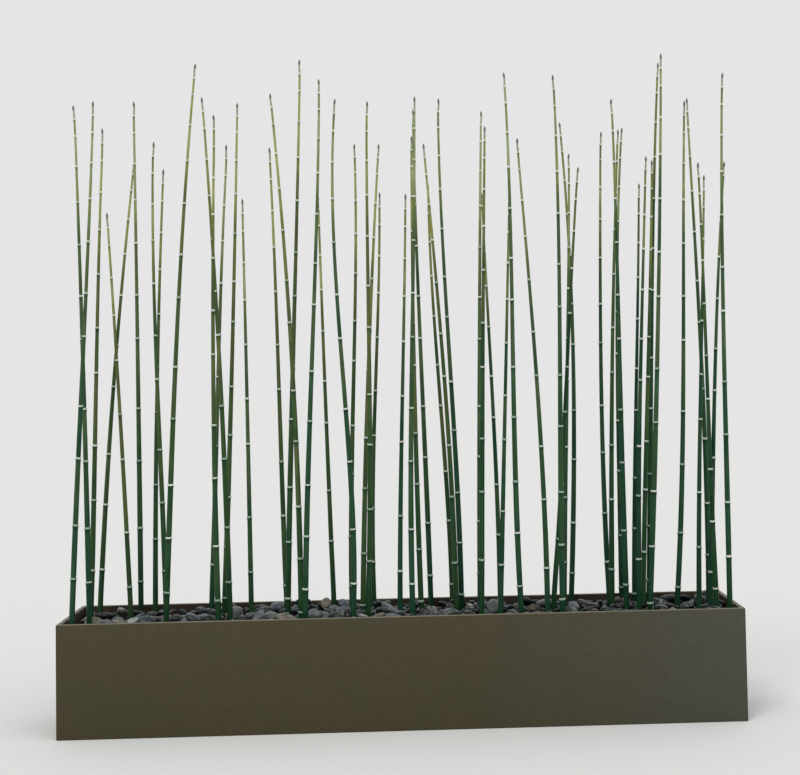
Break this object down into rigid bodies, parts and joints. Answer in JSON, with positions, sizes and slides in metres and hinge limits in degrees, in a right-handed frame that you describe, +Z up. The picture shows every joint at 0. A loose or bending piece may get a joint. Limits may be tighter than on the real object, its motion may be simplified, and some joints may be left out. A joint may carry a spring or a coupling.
{
  "type": "artificial potted horsetail",
  "caption": "Artificial horsetail: a loose row of tall jointed reeds standing in a long, low rectangular trough topped with river stones, for a patio edge or a low wall of green.",
  "frame": {"origin": "middle of the trough's underside, on the surface it stands on", "axes": "+X along the trough, to the right seen from the front; +Y from the front to the back; +Z up"},
  "size_m": [1.22, 0.2, 1.225],
  "materials": {
    "trough_finish": "matte olive brown, faintly mottled",
    "stone_grey": "smooth grey river stones, some with a dull shine",
    "reed_green": "moulded dark green stem with pale rings at the joints"
  },
  "bodies": {
    "root": {"trough": "trough_finish", "stone_bed": "stone_grey", "reed_01": "reed_green", "reed_02": "reed_green", "reed_03": "reed_green", "reed_04": "reed_green", "reed_05": "reed_green", "reed_06": "reed_green", "reed_07": "reed_green", "reed_08": "reed_green", "reed_09": "reed_green", "reed_10": "reed_green", "reed_11": "reed_green", "reed_12": "reed_green", "reed_13": "reed_green", "reed_14": "reed_green", "reed_15": "reed_green", "reed_16": "reed_green", "reed_17": "reed_green", "reed_18": "reed_green", "reed_19": "reed_green", "reed_20": "reed_green", "reed_21": "reed_green", "reed_22": "reed_green", "reed_23": "reed_green", "reed_24": "reed_green", "reed_25": "reed_green", "reed_26": "reed_green", "reed_27": "reed_green", "reed_28": "reed_green", "reed_29": "reed_green", "reed_30": "reed_green", "reed_31": "reed_green", "reed_32": "reed_green", "reed_33": "reed_green", "reed_34": "reed_green", "reed_35": "reed_green", "reed_36": "reed_green", "reed_37": "reed_green", "reed_38": "reed_green", "reed_39": "reed_green", "reed_40": "reed_green", "reed_41": "reed_green", "reed_42": "reed_green", "reed_43": "reed_green", "reed_44": "reed_green", "reed_45": "reed_green", "reed_46": "reed_green", "reed_47": "reed_green", "reed_48": "reed_green", "reed_49": "reed_green", "reed_50": "reed_green", "reed_51": "reed_green", "reed_52": "reed_green", "reed_53": "reed_green", "reed_54": "reed_green", "reed_55": "reed_green", "reed_56": "reed_green"}
  },
  "joints": []
}
